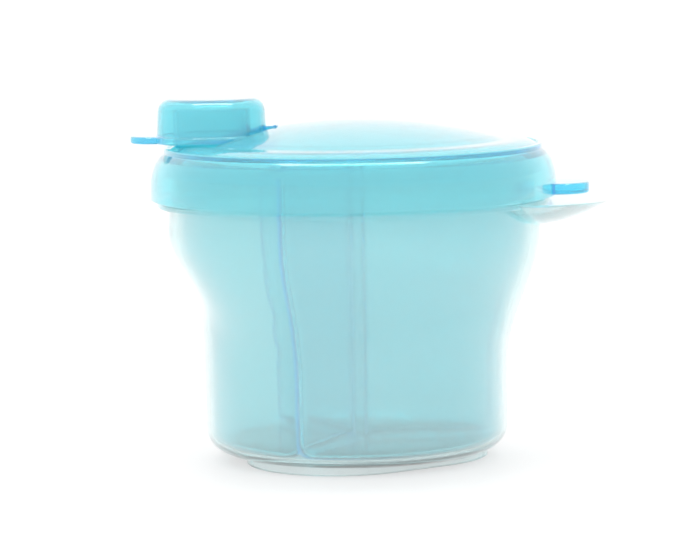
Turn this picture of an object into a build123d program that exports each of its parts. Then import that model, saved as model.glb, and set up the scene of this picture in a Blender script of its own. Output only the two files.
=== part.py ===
from build123d import *

import os
from math import cos, radians, sin, sqrt

# A baby formula dispenser. A milky cup holds a three-pod divider, a domed lid snaps over the
# cup's collar, and a small cap flips open on the lid to let the powder of one pod out.
#
# Frame: the origin is on the cup's axis, in the plane of its foot. +Z is up. +X points to the
# lid's finger tab and the cup's pull lip, and -X points to the spout.

# ---- Cup: driving sizes, mm ----
base_radius = 41.3          # outside of the lower body, at its bottom
body_draft = 0.018          # radius gained per mm of height
neck_radius = 50.9          # outside of the cup just under its flange
shoulder_low = 27.0         # where the shoulder starts in line with a web
shoulder_high = 40.0        # where it starts half way between two webs
shoulder_top = 63.0         # where it reaches the neck
flange_top = 71.4           # top of the flange that the lid sits on
flange_thickness = 1.8
flange_overhang = 2.7       # flange beyond the neck
flange_round = 0.5
collar_step = 1.1           # collar inside the neck's radius
collar_height = 10.6        # collar above the flange
cup_wall = 1.4
floor_thickness = 2.0
bottom_round = 7.0          # outside round from the floor to the wall
hollow_round = 4.5          # inside round from the floor to the wall
bead_height = 0.3           # snap bead round the collar
bead_drop = 3.0             # bead's centre below the collar's rim
wall_points = 18            # points that the wall's cross-sections run through
wall_levels = 12            # steps of the loft up to the top of the shoulder

# ---- Foot: a rounded triangle with its corners in line with the webs ----
foot_height = 2.2
foot_reach = 36.0           # axis to the outside of a corner
foot_corner = 26.0          # corner radius
foot_width = 1.8            # width of the ring that touches the table

# ---- Pull lip: a shallow round dish that grows out of the flange ----
lip_angle = -10.0
lip_radius = 24.0
lip_overhang = 17.3         # tip of the lip beyond the flange
lip_depth = 7.2
lip_wall = 1.5
lip_rim = 0.6               # lip's rim below the top of the flange

# ---- Divider ----
pod_count = 3
web_angle = 4.6             # first web, from +X
web_thickness = 1.7
pod_wall = 1.2
pod_floor = 1.3
pod_corner = 4.7            # outside round where a pod's wall turns into a web
pod_seam = 1.0              # how far neighbouring pods run into one another
divider_clearance = 0.5     # divider to cup, all round
divider_drop = 2.0          # divider's rim below the collar's rim
hub_radius = 3.4
hub_wall = 1.2

# ---- Lid ----
lid_clearance = 0.3         # lid's ring to the collar's bead
ring_wall = 1.2
ring_depth = 7.0            # ring below the underside of the lid's top
lid_gap = 0.2               # lid's edge above the flange
lid_overhang = 1.8          # lid's skirt beyond the flange
lid_wall = 1.5
skirt_height = 4.6          # straight part of the skirt
shoulder_in = 2.0           # how much the wall leans in above the skirt
shoulder_round = 8.0        # outside round from the wall to the top
lid_height = 15.2           # flat rim of the lid's top above the lid's edge
flat_width = 7.0            # flat rim between the shoulder and the dome
dome_height = 5.4
tab_angle = -6.0
tab_width = 19.0
tab_reach = 8.9             # finger tab beyond the skirt
tab_thickness = 2.4
tab_corner = 8.0
tab_lift = 0.6              # finger tab's underside above the lid's edge

# ---- Spout and its cap ----
spout_radius = 9.4          # inside of the spout
spout_wall = 1.2
spout_inset = 11.5          # spout's axis inside the collar's outside
spout_height = 9.4          # spout above its seat
cap_radius = 15.0           # outside, at the bottom
cap_taper = 0.5             # how much narrower the cap is at its top
cap_height = 12.0
cap_wall = 1.2
cap_round = 2.4
cap_gap = 0.1               # cap's underside above its seat
brim_width = 1.1
brim_thickness = 2.0
pocket_clearance = 1.2      # pocket in the dome, beyond the brim
thumb_width = 13.0
thumb_reach = 7.2           # thumb tab beyond the cap
hinge_width = 9.0
hinge_radius = 0.7          # roll at the bend of the hinge
hinge_clearance = 0.08
strap_thickness = 0.9

# ---- Sizes that follow ----
collar_radius = neck_radius - collar_step
collar_top = flange_top + collar_height
collar_bore = collar_radius - cup_wall
flange_radius = neck_radius + flange_overhang
floor_top = foot_height + floor_thickness
divider_top = collar_top - divider_drop
ring_bore = collar_radius + bead_height + lid_clearance
skirt_radius = flange_radius + lid_overhang
lid_edge = flange_top + lid_gap
seat_top = lid_edge + lid_height
dome_radius = skirt_radius - shoulder_in - shoulder_round - flat_width
dome_top = seat_top + dome_height
dome_curve = (dome_radius**2 + dome_height**2) / (2 * dome_height)
spout_x = spout_inset - collar_radius
cap_bottom = seat_top + cap_gap
cap_top = cap_bottom + cap_height
brim_radius = cap_radius + brim_width
pocket_radius = brim_radius + pocket_clearance
hinge_x = spout_x + pocket_radius
hinge_z = dome_top - dome_curve + sqrt(dome_curve**2 - hinge_x**2)


def cup_radius(angle, height, body, neck):
    """Radius of a wall that is `body` wide below the shoulder and `neck` wide above it."""
    between = (1 - cos(radians(pod_count * (angle - web_angle)))) / 2
    start = shoulder_low + (shoulder_high - shoulder_low) * between
    climb = min(max((height - start) / (shoulder_top - start), 0), 1)
    share = climb * climb * (3 - 2 * climb)
    return (body + body_draft * height) * (1 - share) + neck * share


def levels(low):
    """Evenly spaced heights of the loft sections, from low to the top of the shoulder."""
    rise = (shoulder_top - low) / wall_levels
    return [low + rise * step for step in range(wall_levels + 1)]


def cup_section(height, body, neck):
    """Cross-section of the cup: one smooth closed curve with three lobes."""
    angles = [web_angle + 360 * step / wall_points for step in range(wall_points)]
    radii = [cup_radius(angle, height, body, neck) for angle in angles]
    with BuildSketch(Plane.XY.offset(height)) as section:
        with BuildLine():
            Spline(
                [(r * cos(radians(a)), r * sin(radians(a))) for r, a in zip(radii, angles)],
                periodic=True,
            )
        make_face()
    return section.sketch


def foot_section(inset):
    """Outline of the foot: the hull of three circles."""
    with BuildSketch() as section:
        with PolarLocations(foot_reach - foot_corner, pod_count, start_angle=web_angle):
            Circle(foot_corner - inset)
        make_hull()
    return section.sketch


def pod_section(height, inset, to_web, corner):
    """Cross-section of a pod about +X: two flats along the webs and one wall along the cup."""
    body = base_radius - cup_wall - divider_clearance - inset
    neck = collar_bore - divider_clearance - inset
    half_turn = 180 / pod_count
    at_web = cup_radius(web_angle, height, body, neck)
    middle = cup_radius(web_angle + half_turn, height, body, neck)
    along = sqrt(at_web**2 - to_web**2)
    end_x = along * cos(radians(half_turn)) + to_web * sin(radians(half_turn))
    end_y = along * sin(radians(half_turn)) - to_web * cos(radians(half_turn))
    apex = (to_web / sin(radians(half_turn)), 0)
    with BuildSketch(Plane.XY.offset(height)) as section:
        with BuildLine():
            Line(apex, (end_x, end_y))
            ThreePointArc((end_x, end_y), (middle, 0), (end_x, -end_y))
            Line((end_x, -end_y), apex)
        make_face()
        fillet(section.vertices().sort_by(Axis.X)[1:], corner)
    return section.sketch


def pod(low, high, inset, to_web, corner, bottom_round):
    """One pod about +X, rounded at its bottom: the outside, or the hollow with an inset."""
    with BuildPart() as body:
        loft([pod_section(height, inset, to_web, corner) for height in levels(low)], ruled=True)
        extrude(pod_section(shoulder_top, inset, to_web, corner), amount=high - shoulder_top)
        fillet(body.edges().group_by(Axis.Z)[0], bottom_round)
    return body.part


def lid_form(inset):
    """The lid as a solid of revolution: its outside, or with an inset its hollow."""
    wall = skirt_radius - inset
    top = seat_top - inset
    half_way = dome_top - dome_curve + sqrt(dome_curve**2 - (dome_radius / 2) ** 2) - inset
    with BuildPart() as form:
        with BuildSketch(Plane.XZ) as profile:
            with BuildLine():
                Polyline(
                    (0, dome_top - inset),
                    (0, lid_edge),
                    (wall, lid_edge),
                    (wall, lid_edge + skirt_height),
                    (wall - shoulder_in, top),
                    (dome_radius, top),
                )
                ThreePointArc(
                    (dome_radius, top), (dome_radius / 2, half_way), (0, dome_top - inset)
                )
            make_face()
            corner = profile.vertices().sort_by_distance((wall - shoulder_in, top, 0))[0]
            fillet(corner, shoulder_round - inset)
        revolve(axis=Axis.Z)
        # flat-bottomed pocket in the dome that the cap sits in
        with Locations((spout_x, 0, top)):
            Cylinder(
                pocket_radius + inset,
                2 * dome_height,
                align=(Align.CENTER, Align.CENTER, Align.MIN),
                mode=Mode.SUBTRACT,
            )
    return form.part


upright = (Align.CENTER, Align.CENTER, Align.MIN)

# ---- Cup: the dish of the pull lip, on its own ----
lip_curve = (lip_radius**2 + lip_depth**2) / (2 * lip_depth)
lip_centre = flange_radius + lip_overhang - lip_radius
lip_top = flange_top - lip_rim
with BuildPart() as lip:
    with Locations((lip_centre, 0, lip_top - lip_depth + lip_curve)):
        Sphere(lip_curve)
        Sphere(lip_curve - lip_wall, mode=Mode.SUBTRACT)
    with Locations((lip_centre, 0, lip_top)):
        Cylinder(2 * lip_curve, 2 * lip_curve, align=upright, mode=Mode.SUBTRACT)

# ---- Cup: its outside and its hollow ----
with BuildPart() as cup_skin:
    sections = [cup_section(height, base_radius, neck_radius) for height in levels(foot_height)]
    loft(sections, ruled=True)
    neck = cup_section(shoulder_top, base_radius, neck_radius)
    extrude(neck, amount=flange_top - flange_thickness / 2 - shoulder_top)
    fillet(cup_skin.edges().group_by(Axis.Z)[0], bottom_round)

with BuildPart() as cup_hollow:
    inner_radius = base_radius - cup_wall
    sections = [cup_section(height, inner_radius, collar_bore) for height in levels(floor_top)]
    loft(sections, ruled=True)
    bore = cup_section(shoulder_top, inner_radius, collar_bore)
    extrude(bore, amount=collar_top - shoulder_top)
    fillet(cup_hollow.edges().group_by(Axis.Z)[0], hollow_round)

with BuildPart() as cup:
    add(cup_skin.part)
    with Locations(Rotation(0, 0, lip_angle)):
        add(lip.part)
    with Locations((0, 0, flange_top - flange_thickness)):
        Cylinder(flange_radius, flange_thickness, align=upright)
    fillet(cup.edges().filter_by(GeomType.CIRCLE).sort_by(SortBy.LENGTH)[-1], flange_round)
    with Locations((0, 0, flange_top)):
        Cylinder(collar_radius, collar_height, align=upright)
    # foot ring
    extrude(foot_section(0), amount=foot_height + floor_thickness / 2)
    extrude(foot_section(foot_width), amount=foot_height, mode=Mode.SUBTRACT)
    # snap bead
    with BuildSketch(Plane.XZ):
        with Locations((collar_radius, collar_top - bead_drop)):
            Circle(bead_height)
    revolve(axis=Axis.Z)
    add(cup_hollow.part, mode=Mode.SUBTRACT)
cup.part.label = "cup"

# ---- Divider: three pods that share their webs, and a hub that is open below ----
with BuildPart() as divider:
    with PolarLocations(0, pod_count, start_angle=web_angle + 180 / pod_count):
        add(pod(floor_top, divider_top, 0, -pod_seam, pod_corner, hollow_round))
    with PolarLocations(0, pod_count, start_angle=web_angle + 180 / pod_count):
        add(
            pod(
                floor_top + pod_floor,
                divider_top,
                pod_wall,
                web_thickness / 2,
                pod_corner - pod_wall,
                hollow_round - pod_floor,
            ),
            mode=Mode.SUBTRACT,
        )
    with Locations((0, 0, floor_top)):
        Cylinder(hub_radius, divider_top - floor_top, align=upright)
        Cylinder(
            hub_radius - hub_wall,
            divider_top - floor_top - hub_wall,
            align=upright,
            mode=Mode.SUBTRACT,
        )
divider.part.label = "divider"

# ---- Lid ----
with BuildPart() as lid:
    add(lid_form(0))
    add(lid_form(lid_wall), mode=Mode.SUBTRACT)
    # ring that slips over the collar
    with Locations((0, 0, seat_top - lid_wall)):
        Cylinder(ring_bore + ring_wall, ring_depth, align=(Align.CENTER, Align.CENTER, Align.MAX))
        Cylinder(
            ring_bore,
            ring_depth,
            align=(Align.CENTER, Align.CENTER, Align.MAX),
            mode=Mode.SUBTRACT,
        )
    # finger tab
    with BuildSketch(Plane.XY.offset(lid_edge + tab_lift)) as tab:
        with Locations(Rotation(0, 0, tab_angle)):
            with Locations((skirt_radius, 0)):
                Rectangle(2 * tab_reach, tab_width)
        fillet(tab.vertices().sort_by_distance((0, 0))[-2:], tab_corner)
        Circle(skirt_radius - lid_wall / 2, mode=Mode.SUBTRACT)
    extrude(amount=tab_thickness)
    # spout
    with Locations((spout_x, 0, seat_top)):
        Cylinder(spout_radius + spout_wall, spout_height, align=upright)
    with Locations((spout_x, 0, seat_top - 2 * lid_wall)):
        Cylinder(spout_radius, 2 * lid_wall + spout_height, align=upright, mode=Mode.SUBTRACT)
    # groove that the hinge's roll turns in
    with Locations(Location((hinge_x, 0, hinge_z), (90, 0, 0))):
        Cylinder(
            hinge_radius + hinge_clearance, hinge_width + 2 * hinge_clearance, mode=Mode.SUBTRACT
        )
lid.part.label = "lid"

# ---- Spout cap ----
with BuildPart() as spout_cap:
    with BuildSketch(Plane.XY.offset(cap_bottom)):
        with Locations((spout_x, 0)):
            Circle(cap_radius)
    with BuildSketch(Plane.XY.offset(cap_top)):
        with Locations((spout_x, 0)):
            Circle(cap_radius - cap_taper)
    loft()
    fillet(spout_cap.edges().group_by(Axis.Z)[-1], cap_round)
    with BuildSketch(Plane.XY.offset(cap_bottom)) as base:
        with Locations((spout_x, 0)):
            Circle(brim_radius)
        with Locations((spout_x - cap_radius, 0)):
            SlotOverall(2 * thumb_reach, thumb_width)
    extrude(amount=brim_thickness)
    # hollow
    with BuildSketch(Plane.XY.offset(cap_bottom)):
        with Locations((spout_x, 0)):
            Circle(cap_radius - cap_wall)
    with BuildSketch(Plane.XY.offset(cap_top - cap_wall)):
        with Locations((spout_x, 0)):
            Circle(cap_radius - cap_taper - cap_wall)
    loft(mode=Mode.SUBTRACT)
    # hinge strap and its roll
    strap_start = spout_x + cap_radius - cap_wall / 2
    with Locations(((strap_start + hinge_x) / 2, 0, hinge_z)):
        Box(hinge_x - strap_start, hinge_width, strap_thickness)
    with Locations(Location((hinge_x, 0, hinge_z), (90, 0, 0))):
        Cylinder(hinge_radius, hinge_width)
spout_cap.part.label = "spout_cap"

os.makedirs("parts", exist_ok=True)
for piece in (cup, divider, lid, spout_cap):
    export_step(piece.part, f"parts/{piece.part.label}.step")
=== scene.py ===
# %% [markdown]
# # A baby formula dispenser
# Four moulded pieces: a milky cup, an aqua divider with three pods that drops into it, a domed
# aqua lid, and a small cap that flips open on the lid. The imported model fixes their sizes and
# places. This script remakes the cup, the lid and the cap with rounder edges, keeps the divider's
# shape, and gives all four a translucent plastic.

# %% Load the frame
from math import atan2, cos, degrees, hypot, radians, sin, sqrt, tau

import bmesh
import bpy
from mathutils import Matrix


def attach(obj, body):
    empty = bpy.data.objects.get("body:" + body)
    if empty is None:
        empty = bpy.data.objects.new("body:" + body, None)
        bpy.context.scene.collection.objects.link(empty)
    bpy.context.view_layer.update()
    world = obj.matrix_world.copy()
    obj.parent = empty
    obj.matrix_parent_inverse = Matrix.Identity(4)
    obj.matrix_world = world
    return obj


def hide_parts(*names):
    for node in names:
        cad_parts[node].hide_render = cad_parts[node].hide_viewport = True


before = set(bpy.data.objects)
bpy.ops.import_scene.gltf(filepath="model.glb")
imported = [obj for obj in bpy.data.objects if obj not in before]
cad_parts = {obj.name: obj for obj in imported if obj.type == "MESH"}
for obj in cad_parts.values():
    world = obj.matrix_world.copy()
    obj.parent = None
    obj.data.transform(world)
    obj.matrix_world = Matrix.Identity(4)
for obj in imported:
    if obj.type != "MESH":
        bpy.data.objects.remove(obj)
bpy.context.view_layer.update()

# %% [markdown]
# ## Turning a piece
# A moulded round piece is a cross-section turned about its axis, so each one starts as a thin
# wire in the XZ plane. A corner is written as (radius, height, round). The round is how far from
# the corner the curve starts, and a vertex bevel makes it. Sizes are in millimetres until the
# piece is finished, because that is how such a piece is drawn. Points closer than SAME_POINT are
# merged, and NEAR is the slack when a place is compared with a size.

# %% Profiles and solids of revolution
TURN_STEPS = 180
ROUND_STEPS = 5
MM = 0.001
SAME_POINT = 0.001
NEAR = 0.01


def wire(corners, closed):
    """A mesh that holds only the cross-section: corners joined in order, each with its round."""
    mesh = bmesh.new()
    verts = [mesh.verts.new((corner[0], 0, corner[1])) for corner in corners]
    ends = zip(verts, verts[1:] + verts[:1]) if closed else zip(verts, verts[1:])
    for start, end in ends:
        mesh.edges.new((start, end))
    for vert, corner in zip(verts, corners):
        if len(corner) > 2:
            bmesh.ops.bevel(
                mesh, geom=[vert], offset=corner[2], offset_type="OFFSET", affect="VERTICES",
                segments=ROUND_STEPS, profile=0.5, material=-1,
            )
    return mesh


def split_edges(mesh, wanted, cuts):
    """Cut the edges that `wanted` picks into equal lengths."""
    edges = [edge for edge in mesh.edges if wanted(*[vert.co for vert in edge.verts])]
    bmesh.ops.subdivide_edges(mesh, edges=edges, cuts=cuts)


def turn(mesh, steps=TURN_STEPS):
    """Turn a cross-section about Z into a closed skin that faces outwards."""
    bmesh.ops.spin(
        mesh, geom=mesh.verts[:] + mesh.edges[:], cent=(0, 0, 0), axis=(0, 0, 1),
        dvec=(0, 0, 0), angle=tau, steps=steps, use_merge=True,
    )
    bmesh.ops.remove_doubles(mesh, verts=mesh.verts, dist=SAME_POINT)
    bmesh.ops.recalc_face_normals(mesh, faces=mesh.faces)
    return mesh


def turned(corners, closed=False, steps=TURN_STEPS):
    return turn(wire(corners, closed), steps)


def moved(mesh, x=0.0, y=0.0, z=0.0):
    bmesh.ops.translate(mesh, verts=mesh.verts, vec=(x, y, z))
    return mesh


def swung(mesh, angle, axis="Z"):
    bmesh.ops.rotate(
        mesh, verts=mesh.verts, cent=(0, 0, 0), matrix=Matrix.Rotation(radians(angle), 3, axis)
    )
    return mesh


# %% [markdown]
# ## Joining, cutting and finishing
# A mould makes a piece in one shot, so its tabs and ribs run into its walls with no seam. A
# Boolean does the same: it joins two closed skins into one, or cuts one out of the other. The
# exact solver is used because many of these faces touch.

# %% Booleans
def as_object(mesh, name):
    data = bpy.data.meshes.new(name)
    mesh.to_mesh(data)
    mesh.free()
    piece = bpy.data.objects.new(name, data)
    bpy.context.scene.collection.objects.link(piece)
    return piece


def as_mesh(piece):
    """Take an object back to its bare mesh, so that it can go on as a tool."""
    mesh = bmesh.new()
    mesh.from_mesh(piece.data)
    bpy.data.objects.remove(piece)
    return mesh


def combine(piece, tool_mesh, operation):
    """Join a closed skin to the piece (UNION) or cut it away (DIFFERENCE)."""
    tool = as_object(tool_mesh, "tool")
    step = piece.modifiers.new("combine", "BOOLEAN")
    step.operation = operation
    step.object = tool
    step.solver = "EXACT"
    depsgraph = bpy.context.evaluated_depsgraph_get()
    result = bpy.data.meshes.new_from_object(piece.evaluated_get(depsgraph))
    piece.modifiers.clear()
    spent = [piece.data, tool.data]
    piece.data = result
    bpy.data.objects.remove(tool)
    for data in spent:
        bpy.data.meshes.remove(data)


# %% [markdown]
# A finished piece is cleaned, brought to metres and shaded smooth, except across its real edges.
# Its normals lean towards the large faces, so that a flat wall beside a small round stays flat to
# the eye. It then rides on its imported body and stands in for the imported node.

# %% The finished object
SMOOTH_ANGLE = radians(28)


def finish_piece(piece, material, node):
    """Bring the piece to metres, shade it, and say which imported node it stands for."""
    clean = bmesh.new()
    clean.from_mesh(piece.data)
    bmesh.ops.remove_doubles(clean, verts=clean.verts, dist=2 * SAME_POINT)
    bmesh.ops.dissolve_degenerate(clean, dist=2 * SAME_POINT, edges=clean.edges)
    bmesh.ops.scale(clean, verts=clean.verts, vec=(MM, MM, MM))
    open_edges = sum(not edge.is_manifold for edge in clean.edges)
    volume = clean.calc_volume(signed=True) / MM**3
    clean.to_mesh(piece.data)
    clean.free()
    for face in piece.data.polygons:
        face.use_smooth = True
    piece.data.set_sharp_from_angle(angle=SMOOTH_ANGLE)
    even = piece.modifiers.new("even shading", "WEIGHTED_NORMAL")
    even.keep_sharp = True
    piece.data.materials.clear()
    piece.data.materials.append(material)
    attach(piece, node)
    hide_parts(node)
    faces = len(piece.data.polygons)
    print(piece.name, faces, "faces", open_edges, "open edges", round(volume), "mm3")


# %% [markdown]
# ## Translucent plastic
# Polypropylene lets light through and scatters a little of it, and pigment in the wall soaks up
# the red. Long paths, such as a rib seen edge on, look deeper in colour. So each plastic is a
# clear shader with a soft gloss, a small share of it diffuse for the milkiness, and an absorbing
# volume inside the wall. Fine noise breaks up the gloss as a textured mould does.

# %% A material built from Python
class Value:
    """One number in a material, which Python's operators can work on."""

    def __init__(self, finish, socket):
        self.finish = finish
        self.socket = socket

    def math(self, operation, first, second):
        return self.finish.node(
            "Math", {"operation": operation}, {"Value": first, "Value_001": second}
        )

    def __add__(self, other):
        return self.math("ADD", self, other)

    def __radd__(self, other):
        return self.math("ADD", other, self)

    def __sub__(self, other):
        return self.math("SUBTRACT", self, other)

    def __rsub__(self, other):
        return self.math("SUBTRACT", other, self)

    def __mul__(self, other):
        return self.math("MULTIPLY", self, other)

    def __rmul__(self, other):
        return self.math("MULTIPLY", other, self)


class Finish:
    """A material whose nodes are added one at a time."""

    def __init__(self, name):
        self.material = bpy.data.materials.new(name)
        self.material.use_nodes = True
        self.tree = self.material.node_tree
        self.tree.nodes.clear()

    def node(self, kind, settings=None, sockets=None, out=0):
        node = self.tree.nodes.new("ShaderNode" + kind)
        for name, value in (settings or {}).items():
            setattr(node, name, value)
        inputs = {socket.identifier: socket for socket in node.inputs}
        for name, value in (sockets or {}).items():
            if isinstance(value, Value):
                self.tree.links.new(value.socket, inputs[name])
            else:
                inputs[name].default_value = value
        return Value(self, node.outputs[out]) if node.outputs else node


# %% [markdown]
# Each plastic differs in its tints, its pigment and its glow. Clouds mix two close tints, because
# no moulding is one even colour. The pigment absorbs along the way through the wall. The glow
# stands for light that is scattered inside the wall and comes out of it again: to trace that
# scattering would take far longer for the same look.

# %% Noise and blends
OBJECT_PLACE = 3
BLENDED_COLOUR = 2


def noise(finish, scale, detail, roughness=0.5):
    """Noise in the piece's own coordinates, so that it keeps its place when the piece moves."""
    place = finish.node("TexCoord", out=OBJECT_PLACE)
    return finish.node(
        "TexNoise", None,
        {"Vector": place, "Scale": scale, "Detail": detail, "Roughness": roughness},
    )


def blend(finish, share, first, second):
    """A colour between two others."""
    return finish.node(
        "Mix", {"data_type": "RGBA"},
        {"Factor_Float": share, "A_Color": first, "B_Color": second}, out=BLENDED_COLOUR,
    )


# %% The plastics
CLOUD_SCALE, RIPPLE_SCALE, GRAIN_SCALE = 35.0, 160.0, 900.0


def plastic(name, tints, clearness, gloss, pigment, glow):
    """Two tints, then a colour and a strength each for the pigment and for the glow."""
    finish = Finish(name)
    cloud = noise(finish, CLOUD_SCALE, 3.0)
    grain = noise(finish, GRAIN_SCALE, 4.0, 0.6)
    ripple = noise(finish, RIPPLE_SCALE, 1.0, 0.4)
    relief = finish.node(
        "Bump", None, {"Height": ripple * 0.8 + grain * 0.2, "Strength": 0.08, "Distance": 0.0004}
    )
    shader = finish.node(
        "BsdfPrincipled", None,
        {
            "Base Color": blend(finish, cloud, *tints),
            "Roughness": gloss + (grain - 0.5) * 0.12 + (cloud - 0.5) * 0.08,
            "Normal": relief,
            "IOR": 1.3,
            "Transmission Weight": clearness,
            "Coat Weight": 1.0,
            "Coat Roughness": 0.06,
        },
    )
    absorbed = finish.node("VolumeAbsorption", None, {"Color": pigment[0], "Density": pigment[1]})
    scattered = finish.node("Emission", None, {"Color": glow[0], "Strength": glow[1]})
    inside = finish.node("AddShader", None, {"Shader": absorbed, "Shader_001": scattered})
    finish.node("OutputMaterial", None, {"Surface": shader, "Volume": inside})
    print(name, "made")
    return finish.material


milky = plastic(
    "milky polypropylene", tints=((0.98, 0.99, 0.99, 1), (0.95, 0.97, 0.97, 1)),
    clearness=0.87, gloss=0.08,
    pigment=((0.42, 0.92, 0.94, 1), 90.0), glow=((0.72, 0.98, 1.0, 1), 11.0),
)
aqua = plastic(
    "aqua polypropylene", tints=((0.89, 1.0, 1.0, 1), (0.85, 0.99, 1.0, 1)),
    clearness=0.90, gloss=0.09,
    pigment=((0.02, 0.90, 0.95, 1), 400.0), glow=((0.08, 0.76, 0.95, 1), 18.0),
)
cap_aqua = plastic(
    "cap polypropylene", tints=((0.70, 0.99, 1.0, 1), (0.64, 0.975, 0.99, 1)),
    clearness=0.85, gloss=0.09,
    pigment=((0.02, 0.88, 0.95, 1), 520.0), glow=((0.05, 0.76, 0.96, 1), 18.0),
)

# %% [markdown]
# ## The cup
# The cup is round at its neck, but its shoulder starts lower in line with the divider's webs and
# higher between them, which gives the wall three soft lobes. It is turned with a straight wall,
# and then every point of the wall is moved outwards by the shoulder's share at its height.

# %% Sizes of the cup
base_radius, body_draft, neck_radius = 41.3, 0.018, 50.9
shoulder_low, shoulder_high, shoulder_top = 27.0, 40.0, 63.0
cup_wall, foot_height, floor_top = 1.4, 2.2, 4.2
flange_top, flange_thickness, flange_radius = 71.4, 1.8, 53.6
collar_radius, collar_top = 49.8, 82.0
collar_bore = collar_radius - cup_wall
bead_middle, bead_height = 79.0, 0.3
web_angle = 4.6
pod_turn = 120.0
LONG_WALL, WALL_CUTS = 40, 26


def shoulder_share(angle, height):
    """How far the wall has gone from body (0) to neck (1)."""
    between = (1 - cos(radians(3 * (angle - web_angle)))) / 2
    start = shoulder_low + (shoulder_high - shoulder_low) * between
    climb = min(max((height - start) / (shoulder_top - start), 0), 1)
    return climb * climb * (3 - 2 * climb)


def body_radius(inset, height):
    return base_radius - inset + body_draft * height


print("neck", neck_radius, "mm, body at the floor", round(body_radius(0, floor_top), 1), "mm")

# %% Turn the cup and raise its shoulders
outside = [
    (0, foot_height),
    (body_radius(0, foot_height), foot_height, 6.6),
    (body_radius(0, shoulder_top), shoulder_top),
    (neck_radius, flange_top - flange_thickness, 0.5),
    (flange_radius, flange_top - flange_thickness, 0.6),
    (flange_radius, flange_top, 0.7),
    (collar_radius, flange_top, 0.5),
]
bead = [
    (collar_radius, bead_middle - 2 * bead_height),
    (collar_radius + bead_height, bead_middle, 0.3),
    (collar_radius, bead_middle + 2 * bead_height),
]
inside = [
    (collar_radius, collar_top, 0.5),
    (collar_bore, collar_top, 0.5),
    (collar_bore, shoulder_top + 1),
    (body_radius(cup_wall, shoulder_top), shoulder_top),
    (body_radius(cup_wall, floor_top), floor_top, 4.4),
    (0, floor_top),
]
cup_mesh = wire(outside + bead + inside, closed=False)
split_edges(cup_mesh, lambda start, end: abs(start.z - end.z) > LONG_WALL, WALL_CUTS)
turn(cup_mesh)
for vert in cup_mesh.verts:
    radius, height = hypot(vert.co.x, vert.co.y), vert.co.z
    if shoulder_low < height < shoulder_top + NEAR:
        outer = radius > body_radius(cup_wall / 2, height)
        inset, neck = (0, neck_radius) if outer else (cup_wall, collar_bore)
        share = shoulder_share(degrees(atan2(vert.co.y, vert.co.x)), height)
        reach = 1 + share * (neck / body_radius(inset, height) - 1)
        vert.co.x *= reach
        vert.co.y *= reach
cup = as_object(cup_mesh, "cup_body")
print("cup turned", len(cup.data.vertices), "points")

# %% [markdown]
# ## The foot
# The cup stands on a thin ring with three soft corners. It is turned as a plain round ring, and
# each third of it is then pushed towards its own corner.

# %% Foot ring
foot_reach, foot_corner, foot_width = 36.0, 26.0, 1.8
foot_ring = turned(
    [
        (foot_corner - foot_width, 0, 0.5),
        (foot_corner, 0, 0.5),
        (foot_corner, foot_height + 1),
        (foot_corner - foot_width, foot_height + 1),
    ],
    closed=True,
)
for vert in foot_ring.verts:
    third = round((degrees(atan2(vert.co.y, vert.co.x)) - web_angle) / pod_turn)
    corner = radians(web_angle + third * pod_turn)
    vert.co.x += (foot_reach - foot_corner) * cos(corner)
    vert.co.y += (foot_reach - foot_corner) * sin(corner)
combine(cup, foot_ring, "UNION")
print("foot reaches", foot_reach, "mm")

# %% [markdown]
# ## The pull lip
# A finger lifts the cup by a shallow dish that hangs out of the flange. Its section is a thin
# parabola, turned about the dish's own axis. What would stick into the cup is cut away before the
# dish is joined on, so that the collar's bore stays clear.

# %% Pull lip
lip_angle, lip_radius, lip_overhang = -10.0, 24.0, 17.3
lip_depth, lip_wall, lip_top = 7.2, 1.5, 70.8
lip_bite, core_low, core_high = 1.2, 50, 90
LIP_CUTS = 24


def dish_profile(reach, depth):
    """Heights along the dish, which rises as the square of the distance from its middle."""
    return lambda radius: lip_top - depth + depth * (radius / reach) ** 2


rim_radius = lip_radius - 1
under = dish_profile(lip_radius, lip_depth)
over = dish_profile(rim_radius, lip_depth - lip_wall)
dish = wire(
    [(0, under(0)), (lip_radius, lip_top), (rim_radius, lip_top), (0, over(0))], closed=False
)
split_edges(dish, lambda start, end: abs(start.x - end.x) > lip_radius / 2, LIP_CUTS)
for vert in dish.verts:
    straight_under = under(0) + (lip_top - under(0)) * vert.co.x / lip_radius
    level = under if abs(vert.co.z - straight_under) < NEAR else over
    vert.co.z = level(vert.co.x)
turn(dish, steps=120)
moved(dish, x=flange_radius + lip_overhang - lip_radius)
swung(dish, lip_angle)
lip = as_object(dish, "lip")
core_radius = neck_radius - lip_bite
neck_core = turned(
    [(0, core_low), (core_radius, core_low), (core_radius, core_high), (0, core_high)]
)
combine(lip, neck_core, "DIFFERENCE")
combine(cup, as_mesh(lip), "UNION")
finish_piece(cup, milky, "cup")

# %% [markdown]
# ## The divider
# Three pods share their webs round a hollow hub. Each pod's wall follows the cup's shoulders, and
# its corners and floor are rounded so that powder slides out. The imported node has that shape
# already, so a copy of it is taken: its loose triangles are merged into one closed skin, and the
# triangles that lie in one plane become one face, which lets the flat webs shade evenly.

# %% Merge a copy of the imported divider
FLAT = radians(0.5)
divider_mesh = bmesh.new()
divider_mesh.from_mesh(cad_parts["divider"].data)
bmesh.ops.scale(divider_mesh, verts=divider_mesh.verts, vec=(1 / MM, 1 / MM, 1 / MM))
bmesh.ops.remove_doubles(divider_mesh, verts=divider_mesh.verts, dist=2 * SAME_POINT)
bmesh.ops.dissolve_limit(
    divider_mesh, angle_limit=FLAT, verts=divider_mesh.verts, edges=divider_mesh.edges,
)
divider = as_object(divider_mesh, "divider_pods")
finish_piece(divider, aqua, "divider")

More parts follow.
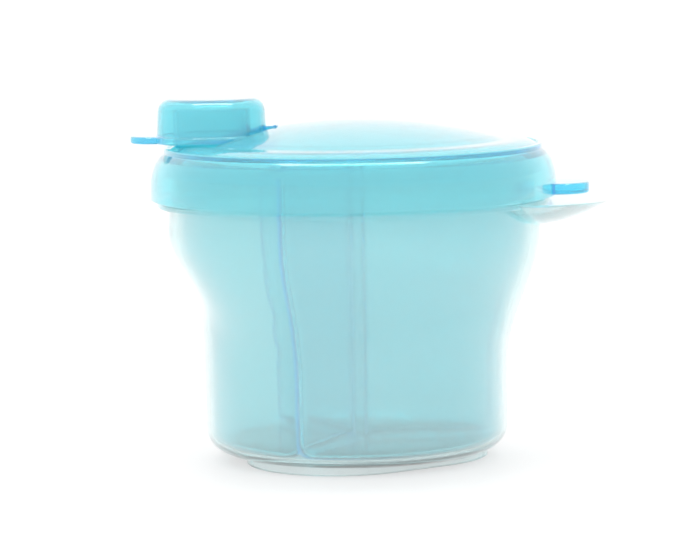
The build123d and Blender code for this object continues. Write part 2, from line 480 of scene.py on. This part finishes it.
# %% [markdown]
# ## The lid
# The lid is a shallow dome on a leaning wall with a short straight skirt. Its outside and its
# hollow are turned as two solids, each with a flat pocket sunk into its dome for the cap, and
# one is cut out of the other. That leaves a wall of even thickness under the pocket too.

# %% Sizes of the lid
lid_edge, skirt_height, skirt_radius = 71.6, 4.6, 55.4
lid_wall, shoulder_in, seat_top = 1.5, 2.0, 86.8
dome_radius, dome_height = 41.4, 5.7
dome_top = seat_top + dome_height
dome_curve = (dome_radius**2 + dome_height**2) / (2 * dome_height)
spout_x, pocket_radius = -38.3, 17.3
pocket_depth = 12
DOME_CUTS = 18


def dome_level(radius):
    return dome_top - dome_curve + sqrt(dome_curve**2 - radius**2)


def lid_solid(inset, bottom, shoulder_round):
    wall, top = skirt_radius - inset, seat_top - inset
    mesh = wire(
        [
            (0, dome_top - inset),
            (dome_radius, top, 0.8),
            (wall - shoulder_in, top, shoulder_round),
            (wall, lid_edge + skirt_height, 1.2),
            (wall, bottom, 0.5),
            (0, bottom),
        ],
        closed=False,
    )
    split_edges(mesh, lambda start, end: start.z > top + 1 or end.z > top + 1, DOME_CUTS)
    for vert in mesh.verts:
        if vert.co.z > top + 0.2:
            vert.co.z = dome_level(vert.co.x) - inset
    return turn(mesh)


def pocket(inset):
    """The pocket's cutter: its floor at the lid's seat, its floor's corner rounded."""
    floor, side = seat_top - inset, pocket_radius + inset
    top = floor + pocket_depth
    mesh = turned([(0, floor), (side, floor, 0.6), (side, top), (0, top)], steps=120)
    return moved(mesh, x=spout_x)


print("dome's curve", round(dome_curve), "mm, dome's top", round(dome_top, 1), "mm")


# %% Hollow the lid
lid = as_object(lid_solid(0, lid_edge, 8.0), "lid_shell")
combine(lid, pocket(0), "DIFFERENCE")
hollow = as_object(lid_solid(lid_wall, lid_edge - 2, 6.8), "lid_hollow")
combine(hollow, pocket(lid_wall), "DIFFERENCE")
combine(lid, as_mesh(hollow), "DIFFERENCE")
print("lid hollowed", len(lid.data.polygons), "faces")

# %% [markdown]
# Under the lid a ring hangs down and grips the cup's collar. Powder leaves through a short spout
# under the cap. Both are turned tubes that sink a little into the lid before they are joined, and
# the spout's bore is cut last, right through.

# %% Ring and spout
ring_bore, ring_wall, ring_depth = 50.4, 1.2, 7.0
ceiling = seat_top - lid_wall
ring = turned(
    [
        (ring_bore, ceiling - ring_depth, 0.4), (ring_bore + ring_wall, ceiling - ring_depth, 0.4),
        (ring_bore + ring_wall, ceiling + 0.5), (ring_bore, ceiling + 0.5),
    ],
    closed=True,
)
combine(lid, ring, "UNION")
spout_radius, spout_wall, spout_height = 9.4, 1.2, 9.4
spout = turned(
    [
        (spout_radius - NEAR, seat_top - 0.5), (spout_radius + spout_wall, seat_top - 0.5),
        (spout_radius + spout_wall, seat_top + spout_height, 0.4),
        (spout_radius - NEAR, seat_top + spout_height, 0.4),
    ],
    closed=True, steps=96,
)
combine(lid, moved(spout, x=spout_x), "UNION")
spout_bore = turned(
    [
        (0, seat_top - 5), (spout_radius, seat_top - 5),
        (spout_radius, seat_top + 2), (0, seat_top + 2),
    ],
    steps=96,
)
combine(lid, moved(spout_bore, x=spout_x), "DIFFERENCE")
print("spout's rim", round(seat_top + spout_height, 1), "mm")

# %% [markdown]
# A finger pushes the lid off by a flat tab. It starts as a block whose two far corners are
# rounded with a wide bevel, and then every edge except those at its root gets a small one.

# %% Finger tab
SHARP_EDGE = radians(50)


def plate(length, width, thickness, corner, edge_round):
    """A flat tab from x = 0, its far corners rounded and then its edges eased."""
    mesh = bmesh.new()
    bmesh.ops.create_cube(
        mesh, size=1,
        matrix=Matrix.Translation((length / 2, 0, thickness / 2))
        @ Matrix.Diagonal((length, width, thickness, 1)),
    )
    far = [
        edge for edge in mesh.edges
        if all(vert.co.x > length - NEAR for vert in edge.verts)
        and abs(edge.verts[0].co.z - edge.verts[1].co.z) > 0.1
    ]
    bmesh.ops.bevel(
        mesh, geom=far, offset=corner, offset_type="OFFSET", affect="EDGES", segments=12,
        profile=0.5, material=-1,
    )
    edges = [
        edge for edge in mesh.edges
        if edge.calc_face_angle() > SHARP_EDGE and max(vert.co.x for vert in edge.verts) > NEAR
    ]
    bmesh.ops.bevel(
        mesh, geom=edges, offset=edge_round, offset_type="OFFSET", affect="EDGES", segments=3,
        profile=0.5, material=-1, clamp_overlap=True,
    )
    return mesh


tab_angle, tab_width, tab_reach, tab_thickness = -6.0, 19.0, 8.9, 3.0
tab_root, tab_level = skirt_radius - lid_wall / 2, lid_edge + 0.6
finger_tab = plate(tab_reach + lid_wall / 2, tab_width, tab_thickness, 8.0, 0.7)
combine(lid, swung(moved(finger_tab, x=tab_root, z=tab_level), tab_angle), "UNION")
print("finger tab", tab_width, "x", tab_thickness, "mm")

# %% [markdown]
# The cap's hinge rolls in a groove beside the pocket. The groove is cut with the same pin that
# later joins the cap, made a little larger all round so that the roll turns freely.

# %% Hinge groove
hinge_x, hinge_z = spout_x + pocket_radius, 90.828
hinge_width, hinge_radius, hinge_clearance = 9.0, 0.7, 0.08


def pin(radius, width):
    mesh = bmesh.new()
    bmesh.ops.create_cone(
        mesh, cap_ends=True, segments=32, radius1=radius, radius2=radius, depth=width
    )
    return moved(swung(mesh, 90, "X"), x=hinge_x, z=hinge_z)


combine(lid, pin(hinge_radius + hinge_clearance, hinge_width + 2 * hinge_clearance), "DIFFERENCE")
finish_piece(lid, aqua, "lid")

# %% [markdown]
# ## The spout cap
# The cap is a small tub turned upside down over the spout. A brim round its foot carries a thumb
# tab in front and, behind, a thin strap that ends in the hinge's roll.

# %% Cap
cap_radius, cap_taper, cap_wall = 15.0, 0.5, 1.2
cap_low, cap_top, brim_width, brim_thickness = 86.9, 98.9, 1.1, 2.0
tub = turned(
    [
        (0, cap_top),
        (cap_radius - cap_taper, cap_top, 3.4),
        (cap_radius, cap_low + brim_thickness, 0.4),
        (cap_radius + brim_width, cap_low + brim_thickness, 0.5),
        (cap_radius + brim_width, cap_low, 0.5),
        (cap_radius - cap_wall, cap_low, 0.3),
        (cap_radius - cap_taper - cap_wall, cap_top - cap_wall, 2.2),
        (0, cap_top - cap_wall),
    ],
    steps=144,
)
cap = as_object(moved(tub, x=spout_x), "spout_cap_tub")
print("cap turned", len(cap.data.polygons), "faces")

# %% Thumb tab and hinge strap
thumb_width, thumb_reach = 13.0, 7.2
thumb_tab = plate(thumb_reach + cap_wall / 2, thumb_width, brim_thickness, 6.2, 0.6)
thumb_root = spout_x - cap_radius + cap_wall / 2
combine(cap, moved(swung(thumb_tab, 180), x=thumb_root, z=cap_low), "UNION")
strap_thickness, strap_shy = 0.9, 0.3
strap_start = spout_x + cap_radius - cap_wall / 2
strap_width = hinge_width - 2 * strap_shy
strap = plate(hinge_x - strap_start, strap_width, strap_thickness, 0.1, 0.1)
combine(cap, moved(strap, x=strap_start, z=hinge_z - strap_thickness / 2), "UNION")
combine(cap, pin(hinge_radius, hinge_width), "UNION")
finish_piece(cap, cap_aqua, "spout_cap")

# %% [markdown]
# ## The table
# The table is a wide white sheet that glows a little, as a light table does, so that the plastic
# is lit from below and behind too. It is a plain disc, so wide that its far edge is lost in the
# white sky.

# %% Table
table_radius = 12.0
table_glow = 0.6
sheet = bmesh.new()
bmesh.ops.create_circle(sheet, cap_ends=True, segments=96, radius=table_radius)
floor = as_object(sheet, "table")
paper = Finish("white table")
fibre = noise(paper, 260.0, 3.0)
paper_shader = paper.node(
    "BsdfPrincipled", None,
    {
        "Base Color": blend(paper, fibre, (0.35, 0.35, 0.35, 1), (0.39, 0.39, 0.39, 1)),
        "Roughness": 0.55 + fibre * 0.1,
        "Emission Color": (1, 1, 1, 1),
        "Emission Strength": table_glow,
    },
)
paper.node("OutputMaterial", None, {"Surface": paper_shader})
floor.data.materials.append(paper.material)
print("table", table_radius, "m")

# %% [markdown]
# ## Light
# A white sky lights the pieces evenly from all sides, and one softbox overhead adds a little
# light from above. Light meets many walls on its way through nested clear pieces, so it is
# allowed many bounces: with few, deep corners and edges turn grey.

# %% Sky and softbox
sky_strength = 1.1
clear_bounces, diffuse_bounces, gap_bounces = 40, 12, 32
sky = bpy.data.worlds.new("white sky")
sky.use_nodes = True
sky.node_tree.nodes["Background"].inputs["Color"].default_value = (1, 1, 1, 1)
sky.node_tree.nodes["Background"].inputs["Strength"].default_value = sky_strength
bpy.context.scene.world = sky


def softbox(name, place, width, depth, power):
    """A rectangle of light that shines straight down."""
    light = bpy.data.lights.new(name, "AREA")
    light.shape = "RECTANGLE"
    light.size, light.size_y, light.energy = width, depth, power
    lamp = bpy.data.objects.new(name, light)
    lamp.location = place
    bpy.context.scene.collection.objects.link(lamp)


softbox("overhead softbox", (0, 0.05, 0.95), 0.75, 0.22, 3.2)
scene = bpy.context.scene
scene.view_settings.view_transform = "Standard"
scene.cycles.max_bounces = clear_bounces
scene.cycles.glossy_bounces = clear_bounces
scene.cycles.transmission_bounces = clear_bounces
scene.cycles.diffuse_bounces = diffuse_bounces
scene.cycles.transparent_max_bounces = gap_bounces
print("sky", sky_strength, "and", clear_bounces, "bounces")

# %% [markdown]
# ## Camera
# A long lens almost a metre away looks slightly down, which keeps the cup's sides near parallel.
# Its small shift slides the view without turning the camera.

# %% Camera
camera_place = (0, -0.9, 0.148)
camera_tilt, camera_roll = radians(90 - 6.5), -0.0165
lens = bpy.data.cameras.new("camera")
lens.lens, lens.sensor_width = 170.2, 36.0
lens.shift_x, lens.shift_y = -0.0073, 0.0156
lens.clip_end = 50.0
camera = bpy.data.objects.new("camera", lens)
camera.matrix_world = (
    Matrix.Translation(camera_place)
    @ Matrix.Rotation(camera_tilt, 4, "X")
    @ Matrix.Rotation(camera_roll, 4, "Z")
)
scene.collection.objects.link(camera)
scene.camera = camera
print("camera", camera_place, "lens", round(lens.lens, 1))
